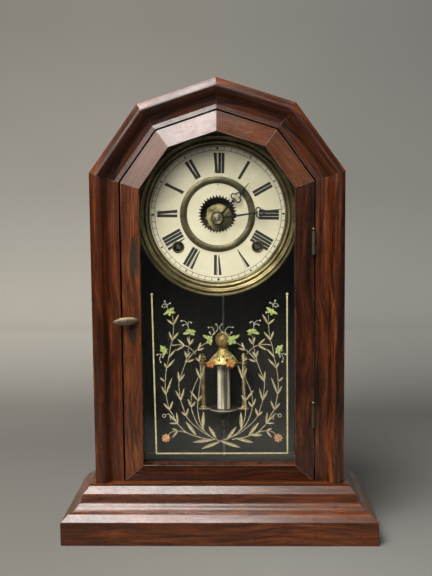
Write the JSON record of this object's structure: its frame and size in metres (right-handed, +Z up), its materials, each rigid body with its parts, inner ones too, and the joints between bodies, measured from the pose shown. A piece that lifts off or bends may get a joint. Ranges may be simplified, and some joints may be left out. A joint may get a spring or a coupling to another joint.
{
  "type": "pendulum clock",
  "caption": "Shelf clock with a faceted arch top, a moulded base, a glazed door, a round dial with hands and a swinging jar pendulum",
  "frame": {"origin": "middle of the base's underside", "axes": "X across the width, Y from front to back, Z up; the dial faces -Y"},
  "size_m": [0.296, 0.134, 0.432],
  "materials": {
    "rosewood": "satin shellac over veneer",
    "light_rosewood": "satin, cross-grain veneer",
    "pine": "plain sawn",
    "brass": "aged, lightly polished",
    "steel": "plain",
    "blued_steel": "blued black",
    "dial_paint": "aged cream paint",
    "glass": "clear",
    "jar_glass": "clear",
    "silvered": "silvered",
    "iron": "black japanned"
  },
  "bodies": {
    "case": {"base_mouldings": "rosewood", "base_inner_boards": "pine", "base_top_board": "rosewood", "door_sill": "rosewood", "side_boards": "rosewood", "roof_boards": "rosewood", "back_board": "pine", "front_stiles": "rosewood", "front_arch": "rosewood", "case_hinge_leaves": "brass", "hinge_pins": "brass", "dial_pan": "dial_paint", "dial_bezel": "brass", "dial_ring": "brass", "winding_grommets": "brass", "dial_feet": "brass", "front_plate": "brass", "back_plate": "brass", "plate_pillars": "brass", "movement_posts": "brass", "mainsprings": "steel", "suspension_post": "brass", "gong_base": "iron", "gong_coil": "blued_steel"},
    "door": {"door_stiles": "rosewood", "door_arch": "light_rosewood", "door_bottom_rail": "rosewood", "door_glass": "glass", "glass_beads": "light_rosewood", "door_hinge_leaves": "brass"},
    "latch": {"latch_knob": "brass", "latch_spindle": "brass"},
    "minute_set": {"centre_arbor": "brass", "minute_hand": "blued_steel", "hand_nut": "brass"},
    "minute_wheel": {"minute_wheel": "brass"},
    "hour_set": {"hour_wheel": "brass", "hour_hand": "blued_steel"},
    "centre_wheel": {"centre_wheel": "brass"},
    "time_great": {"time_great_wheel": "brass"},
    "time_winding": {"time_winding_arbor": "steel"},
    "time_second": {"time_second_wheel": "brass"},
    "time_third": {"time_third_wheel": "brass"},
    "escape": {"escape_wheel": "brass"},
    "verge_body": {"verge": "steel"},
    "pendulum": {"pendulum_rod": "steel", "bob_ball": "brass", "bob_cap": "brass", "bob_jar": "jar_glass", "bob_core": "silvered", "bob_frame": "brass", "bob_foot_plate": "brass", "rating_nut": "brass"},
    "strike_great": {"strike_great_wheel": "brass"},
    "strike_winding": {"strike_winding_arbor": "steel"},
    "strike_second": {"strike_second_wheel": "brass"},
    "strike_third": {"strike_third_wheel": "brass"},
    "warning": {"warning_wheel": "brass"},
    "fly_body": {"fly": "brass"},
    "hammer_body": {"hammer": "brass"}
  },
  "joints": [
    {"name": "door_hinge", "type": "hinge", "parent": "case", "child": "door", "pos_m": [0.08955, -0.0364, 0.2], "axis": [0, 0, 1], "range_deg": [0, 110]},
    {"name": "latch_turn", "type": "hinge", "parent": "door", "child": "latch", "pos_m": [-0.0828, -0.029, 0.2074], "axis": [0, 1, 0], "range_deg": [0, 90]},
    {"name": "minute_turn", "type": "hinge", "parent": "case", "child": "minute_set", "pos_m": [0, -0.005, 0.3025], "axis": [0, 1, 0], "continuous": true},
    {"name": "minute_wheel_turn", "type": "hinge", "parent": "case", "child": "minute_wheel", "pos_m": [0, -0.006, 0.285], "axis": [0, 1, 0], "continuous": true},
    {"name": "hour_turn", "type": "hinge", "parent": "case", "child": "hour_set", "pos_m": [0, -0.01, 0.3025], "axis": [0, 1, 0], "continuous": true},
    {"name": "time_third_turn", "type": "hinge", "parent": "case", "child": "time_third", "pos_m": [0.017, 0.015, 0.32317], "axis": [0, 1, 0], "continuous": true},
    {"name": "time_second_turn", "type": "hinge", "parent": "case", "child": "time_second", "pos_m": [0.027, 0.015, 0.30442], "axis": [0, 1, 0], "continuous": true},
    {"name": "centre_wheel_turn", "type": "hinge", "parent": "case", "child": "centre_wheel", "pos_m": [0, 0.03, 0.3025], "axis": [0, 1, 0], "continuous": true},
    {"name": "time_great_turn", "type": "hinge", "parent": "case", "child": "time_great", "pos_m": [0.038, 0.005, 0.2755], "axis": [0, 1, 0], "continuous": true},
    {"name": "escape_turn", "type": "hinge", "parent": "case", "child": "escape", "pos_m": [0.0035, 0.005, 0.33252], "axis": [0, 1, 0], "continuous": true},
    {"name": "time_winding", "type": "hinge", "parent": "time_great", "child": "time_winding", "pos_m": [0.038, -0.005, 0.2755], "axis": [0, 1, 0], "continuous": true},
    {"name": "warning_turn", "type": "hinge", "parent": "case", "child": "warning", "pos_m": [-0.027, 0.015, 0.3362], "axis": [0, 1, 0], "continuous": true},
    {"name": "strike_third_turn", "type": "hinge", "parent": "case", "child": "strike_third", "pos_m": [-0.017, 0.015, 0.32317], "axis": [0, 1, 0], "continuous": true},
    {"name": "strike_second_turn", "type": "hinge", "parent": "case", "child": "strike_second", "pos_m": [-0.027, 0.015, 0.30442], "axis": [0, 1, 0], "continuous": true},
    {"name": "strike_great_turn", "type": "hinge", "parent": "case", "child": "strike_great", "pos_m": [-0.038, 0.005, 0.2755], "axis": [0, 1, 0], "continuous": true},
    {"name": "fly_turn", "type": "hinge", "parent": "case", "child": "fly_body", "pos_m": [-0.014, 0.015, 0.33945], "axis": [0, 1, 0], "continuous": true},
    {"name": "strike_winding", "type": "hinge", "parent": "strike_great", "child": "strike_winding", "pos_m": [-0.038, -0.005, 0.2755], "axis": [0, 1, 0], "continuous": true},
    {"name": "pendulum_swing", "type": "hinge", "parent": "case", "child": "pendulum", "pos_m": [0.0035, 0.04, 0.355], "axis": [0, 1, 0], "range_deg": [-3.5, 3.5]},
    {"name": "verge_rock", "type": "hinge", "parent": "case", "child": "verge_body", "pos_m": [0.0035, 0.015, 0.34752], "axis": [0, 1, 0], "range_deg": [-4.16, 4.16]},
    {"name": "hammer_lift", "type": "hinge", "parent": "case", "child": "hammer_body", "pos_m": [-0.05, 0.015, 0.3105], "axis": [0, 1, 0], "range_deg": [0, 18]}
  ],
  "couplings": [
    {"joint": "minute_wheel_turn", "follows": "minute_turn", "ratio": -0.33333},
    {"joint": "hour_turn", "follows": "minute_turn", "ratio": 0.083333},
    {"joint": "time_second_turn", "follows": "time_third_turn", "ratio": -0.089744},
    {"joint": "centre_wheel_turn", "follows": "time_third_turn", "ratio": 0.089744},
    {"joint": "time_great_turn", "follows": "time_third_turn", "ratio": 0.0074786},
    {"joint": "escape_turn", "follows": "time_third_turn", "ratio": -9.4286},
    {"joint": "strike_third_turn", "follows": "warning_turn", "ratio": -0.10606},
    {"joint": "strike_second_turn", "follows": "warning_turn", "ratio": 0.0088384},
    {"joint": "strike_great_turn", "follows": "warning_turn", "ratio": -0.00067988},
    {"joint": "fly_turn", "follows": "warning_turn", "ratio": -8.5714},
    {"joint": "verge_rock", "follows": "pendulum_swing", "ratio": 1.1892}
  ]
}
